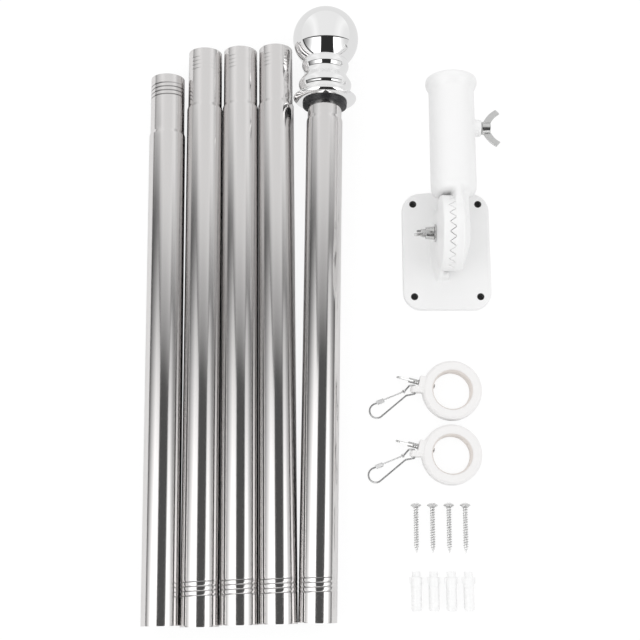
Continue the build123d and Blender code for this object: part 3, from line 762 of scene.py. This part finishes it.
casting = dict(
    voxel=0.42, relax=4, keep=0.32, holeShade=(0.15, 0.4),
    teethX=(83.1, 88.4), teethRadius=(9.0, 25.4), wear=0.09, wearPast=0.4,
    meltSteps=26, meltPast=(1.2, 1.0, 2.0), plateTop=6.5, plateShare=0.2,
    neckSteps=150, neck=(19.0, 23.0, 32.0, 38.0), neckLow=30.0, neckRise=6.0,
)


def fromHinge(spot):
    hinge = Vector(joints["socket_tilt"]["pos_m"]) / mm
    return hypot(spot.y - hinge.y, spot.z - hinge.z)


def castingWear(spot, normal):
    # the teeth's flanks stand a little back, so that their seam shows
    low, high = casting["teethX"]
    inner, outer = casting["teethRadius"]
    if low < spot.x < high and inner < fromHinge(spot) < outer + casting["wearPast"]:
        return normal * -casting["wear"]
    return Vector()


def castingMelt(spot):
    # edges are soft, apart from the teeth and the plate's holes
    low, high = casting["teethX"]
    aside, start, rise = casting["meltPast"]
    clear = min(max(max(low - spot.x, spot.x - high) / aside, 0), 1)
    beyond = min(max((fromHinge(spot) - casting["teethRadius"][1] - start) / rise, 0), 1)
    share = max(clear, beyond)
    return share if spot.z > casting["plateTop"] else share * casting["plateShare"]


def neckMelt(spot):
    # the moving cheek flows into the socket
    first, full, last, end = casting["neck"]
    along = spot.y - joints["socket_tilt"]["pos_m"][1] / mm
    share = min((along - first) / (full - first), (end - along) / (end - last), 1)
    return max(share, 0) * min(max((spot.z - casting["neckLow"]) / casting["neckRise"], 0), 1)


def makeBracket(coating):
    c = casting
    melt = [(c["meltSteps"], castingMelt)]
    more = [(c["neckSteps"], neckMelt)]
    for name, node, body, steps in (("plateCasting", "bracket_base", "root", melt),
                                    ("socketCasting", "bracket_socket", "socket", melt + more)):
        piece = softCopy(name, node, c["voxel"], c["relax"], c["keep"], castingWear, steps)
        finishPiece(piece, body, coating, node, sharp=60)


# Clamp bolt, washer, wing nut and wing screw

clamp = dict(
    radius=3.0, headRadius=6.5, headHeight=3.0, headRound=1.4, headEdge=0.3, boltShort=0.9,
    pitch=1.0, threadDepth=0.45, threadLength=15.0, threadStart=0.5, chamfer=0.7, stepsPerTurn=8,
    boltAround=40, washerOuter=6.0, washerBore=3.2, washerEdge=0.3, washerAround=64,
    wingVoxel=0.22, wingRelax=4,
)


def makeClamp(zinc):
    c = clamp
    hinge = Vector(joints["wing_nut_turn"]["pos_m"])
    along = Vector((1, 0, 0))
    place = placeAlong(hinge, along, (0, 1, 0))
    low, high = reachAlong("clamp_bolt", hinge, along)
    low += c["boltShort"]
    step = c["pitch"] / c["stepsPerTurn"]
    spots = [low + c["threadStart"] + k * step for k in range(int(c["threadLength"] / step))]
    neck = high - c["headHeight"]
    head = rounded([
        (c["radius"], neck),
        (c["headRadius"], neck, c["headEdge"]),
        (c["headRadius"], high, c["headRound"]),
        (0, high),
    ])
    profile = [(0, low), (c["radius"] - c["chamfer"], low)] + [(c["radius"], a) for a in spots] + head

    def ripple(radius, a, angle):
        if radius < c["radius"] or a > low + c["threadLength"]:
            return 0
        turn = (a - low) / c["pitch"] - angle / (2 * pi)
        return -c["threadDepth"] * abs(2 * (turn % 1) - 1)

    bolt = lathe("clampBolt", profile, place, c["boltAround"], False, ripple)
    finishPiece(bolt, "root", zinc, "clamp_bolt")
    low, high = reachAlong("clamp_washer", hinge, along)
    bore, outer, edge = c["washerBore"], c["washerOuter"], c["washerEdge"]
    edges = rounded([(bore, low, edge), (outer, low, edge), (outer, high, edge), (bore, high, edge)], True)
    washer = lathe("clampWasher", edges, place, c["washerAround"], True)
    finishPiece(washer, "root", zinc, "clamp_washer")
    for name, node, body in (("wingNut", "clamp_wing_nut", "wing_nut"),
                             ("wingScrew", "socket_wing_screw", "wing_screw")):
        piece = softCopy(name, node, c["wingVoxel"], c["wingRelax"])
        finishPiece(piece, body, zinc, node, sharp=60)


# Flag rings, thumbscrews and snap hooks

ring = dict(
    voxel=0.3, relax=4, keep=0.4, radius=20.0, lipDepth=2.4, pad=2.8, bore=12.7, boreShade=(0.8, 1.0),
)
thumb = dict(
    angle=14.0, roll=11.0, gap=0.2, hubRadius=1.85, hubLength=7.0, hubAround=32,
    ridges=5, ridgeDepth=0.22, ridgeSteps=60, screwRadius=1.5, proud=0.9,
    wingRadius=7.0, wingRise=14.8, wingWidth=2.6, wingThickness=1.1, wingTaper=0.6, wingInside=0.2,
    rootShare=0.35, rootReach=1.0, rootRise=0.6, rootRound=2.0, tipRound=1.0,
    voxel=0.14, relax=3, keep=0.45,
)
wire = dict(voxel=0.16, relax=3)


def ringMiddle(number):
    bore = mounts[f"ring_{number}_bore"]
    up = Vector(bore["axis"])
    return Vector(bore["pos_m"]) + up * (ring["lipDepth"] / 2 * mm), up


def makeThumbscrew(number, steel):
    t = thumb
    middle, up = ringMiddle(number)
    back = Vector((up.z, 0, -up.x))
    way = back * -cos(radians(t["angle"])) + up.cross(back) * sin(radians(t["angle"]))
    place = placeAlong(middle, way, up - Vector((0, tan(radians(t["roll"])), 0)))
    start = ring["radius"] + ring["pad"] + t["gap"]
    end = start + t["hubLength"]
    knurl = []
    for k in range(t["ridgeSteps"] + 1):
        share = k / t["ridgeSteps"]
        groove = t["ridgeDepth"] * abs(cos(pi * t["ridges"] * share))
        knurl.append((t["hubRadius"] - groove, start + t["hubLength"] * share))
    tip = ring["bore"] - t["proud"]
    profile = [(0, tip), (t["screwRadius"], tip), (t["screwRadius"], start)] + knurl + [(0, end)]
    hub = lathe("hub", profile, place, t["hubAround"])
    root, rise, half = start + t["hubLength"] * t["rootShare"], start + t["wingRise"], t["wingWidth"] / 2
    outline = rounded([
        (t["wingInside"], root),
        (t["hubRadius"] + t["rootReach"], root + t["rootRise"], t["rootRound"]),
        (t["wingRadius"], rise - half, t["tipRound"]),
        (t["wingRadius"] - t["wingWidth"] * t["wingTaper"], rise + half, t["tipRound"]),
        (t["hubRadius"] * t["wingTaper"], end),
        (t["wingInside"], end),
    ])
    wings = [slab("wing", [(side * x, a) for x, a in outline], t["wingThickness"], place) for side in (1, -1)]
    piece = soften(joined(f"ringThumbscrew{number}", hub, *wings), t["voxel"], t["relax"], t["keep"])
    finishPiece(piece, "root", steel, f"ring_{number}_thumbscrew", sharp=60)


def makeRing(number, plastic, steel, hookWire, gateWire):
    body = softCopy(f"flagRing{number}", f"ring_{number}_body", ring["voxel"], ring["relax"], ring["keep"])
    finishPiece(body, "root", plastic, f"ring_{number}_body", sharp=60)
    makeThumbscrew(number, steel)
    for part, body, metal in (("frame", f"hook_{number}", hookWire), ("gate", f"gate_{number}", gateWire)):
        node = f"hook_{number}_{part}"
        piece = softCopy(f"snapHook{part.capitalize()}{number}", node, wire["voxel"], wire["relax"])
        finishPiece(piece, body, metal, node, sharp=60)


# Screws

screw = dict(
    length=33.0, droop=3.6, lift=3.65, around=64,
    headRadius=3.6, headHeight=2.0, crown=1.5, crownPower=2.4, crownSteps=24, rimTaper=0.3, rimRound=0.2,
    recessWidth=0.9, recessLength=4.0, recessDepth=1.2, recessPlay=0.3,
    flare=(0.2, 1.1), neck=1.6, start=0.1, core=1.25, crest=1.75, crestShare=0.24, pitch=1.6,
    stepsPerTurn=14, tip=5.0, tipPower=0.8,
    # painted shade: how dark the crests, the rim and the joint below the head are painted, and where
    crestShade=0.9, crestFrom=0.3, rimShade=0.45, rimFrom=0.75, rimWidth=1.0,
    jointShade=0.9, joint=(0.2, 1.4),
)


def makeScrew(number, steel):
    t = screw
    low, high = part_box(f"screw_{number}")
    droop = radians(t["droop"])
    origin = Vector(((low.x + high.x) / 2, high.y, t["lift"] * mm))
    place = placeAlong(origin, (0, -cos(droop), -sin(droop)))
    top, shares = t["headHeight"], [k / t["crownSteps"] for k in range(t["crownSteps"] + 1)]
    crown = [(t["headRadius"] * share, t["crown"] * share ** t["crownPower"]) for share in shares]
    wider, lower = t["flare"]
    under = rounded([
        crown[-1],
        (t["headRadius"] - t["rimTaper"], top, t["rimRound"]),
        (t["core"] + wider, top + lower),
    ])
    neck, step = top + t["neck"], t["pitch"] / t["stepsPerTurn"]
    count = int((t["length"] - neck - 2 * t["start"]) / step)
    shank = [neck + t["start"] + k * step for k in range(count)]

    def thickness(a):
        return min(1, (t["length"] - a) / t["tip"]) ** t["tipPower"]

    core = [(t["core"] * thickness(a), a) for a in shank]
    profile = crown + under[1:] + core + [(0, t["length"])]

    def ripple(radius, a, angle):
        if a < neck or radius < 1e-6:
            return 0
        turn = (a - top) / t["pitch"] - angle / (2 * pi)
        peak = max(0, 1 - abs((turn % 1) - 0.5) / t["crestShare"])
        return (t["crest"] - t["core"]) * peak * thickness(a)

    def dent(radius, a, angle):
        if a > t["crown"] or radius > t["recessLength"] / 2 + t["recessPlay"]:
            return 0
        u, v = abs(radius * cos(angle)), abs(radius * sin(angle))
        inCross = min(u, v) < t["recessWidth"] / 2 and max(u, v) < t["recessLength"] / 2
        return t["recessDepth"] if inCross else 0

    piece = lathe(f"woodScrew{number}", profile, place, t["around"], False, ripple, dent)
    # painted shade on the thread's crests, the head's rim and the joint below the head
    dark = piece.data.attributes.new("shaded", "FLOAT", "POINT")
    for vertex, mark in zip(piece.data.vertices, dark.data):
        away, a = hypot(vertex.co.x, vertex.co.y) / mm, vertex.co.z / mm
        crest = a > neck and away > t["core"] * thickness(min(a, t["length"])) + t["crestFrom"]
        rim = t["crown"] * t["rimFrom"] < a < top and away > t["headRadius"] - t["rimWidth"]
        joint = t["joint"][0] < a - top < t["joint"][1]
        mark.value = t["crestShade"] if crest else t["rimShade"] * rim + t["jointShade"] * joint
    seated(piece)
    finishPiece(piece, "root", steel, f"screw_{number}", sharp=40)


# Wall plugs

plug = dict(
    voxel=0.18, relax=3, keep=0.4, turned=(7.4, 9.4),
    shank=3.0, ribPitch=2.4, ribDepth=0.18, ribFrom=9.6, ribTo=23.0,
)


def makePlug(number, plastic):
    low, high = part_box(f"wall_plug_{number}")
    middle = Vector(((low.x + high.x) / 2, high.y, (low.z + high.z) / 2)) / mm
    p = plug

    def ribs(spot, normal):
        # the split lies level, and shallow ribs run round the shank
        along = middle.y - spot.y
        out = Vector((spot.x - middle.x, 0, spot.z - middle.z))
        first, last = p["turned"]
        if along < first:
            return Vector()
        shift = Matrix.Rotation(pi / 2 * min((along - first) / (last - first), 1), 3, "Y") @ out - out
        if p["ribFrom"] < along < p["ribTo"] and out.length > p["shank"]:
            rib = abs(2 * ((along / p["ribPitch"]) % 1) - 1)
            shift -= (shift + out).normalized() * p["ribDepth"] * rib
        return shift

    piece = softCopy(f"wallPlug{number}", f"wall_plug_{number}", p["voxel"], p["relax"], p["keep"], ribs)
    finishPiece(piece, "root", plastic, f"wall_plug_{number}", sharp=50)


addCamera()
addWorld()
addCeiling()
addLamps()
addFloor()
print("studio ready")
materials = dict(
    steel=polishedSteel(),
    chrome=chromePlate(),
    black=blackMoulding(),
    coating=whiteCoating("whiteCoating", (0.88, 0.88, 0.88), 0.3, holeWalls, 0.02),
    zinc=zincPlate("zincPlate", (0.66, 0.66, 0.655), 0.1),
    hookWire=zincPlate("hookWire", (0.50, 0.50, 0.50), 0.15),
    gateWire=zincPlate("gateWire", (0.80, 0.80, 0.80), 0.25),
    screwSteel=zincPlate("screwSteel", (0.97, 0.97, 0.965), 0.42, (0.4, 0.4, 0.4)),
    ringPlastic=whiteCoating("ringPlastic", (0.87, 0.86, 0.855), 0.3, ringBoreShade, (0.78, 0.735, 0.70)),
    plugPlastic=whiteCoating("plugPlastic", (0.93, 0.93, 0.93), 0.4),
)
for number in range(1, tube["sections"] + 1):
    makeTube(number, materials["steel"])
print("tubes made")
makeFinial(materials["chrome"], materials["black"])
print("finial made")
makeBracket(materials["coating"])
makeClamp(materials["zinc"])
print("bracket made")
for number in (1, 2):
    makeRing(number, *[materials[name] for name in ("ringPlastic", "zinc", "hookWire", "gateWire")])
print("rings and hooks made")
for number in range(1, 5):
    makeScrew(number, materials["screwSteel"])
    makePlug(number, materials["plugPlastic"])
print("screws and plugs made")
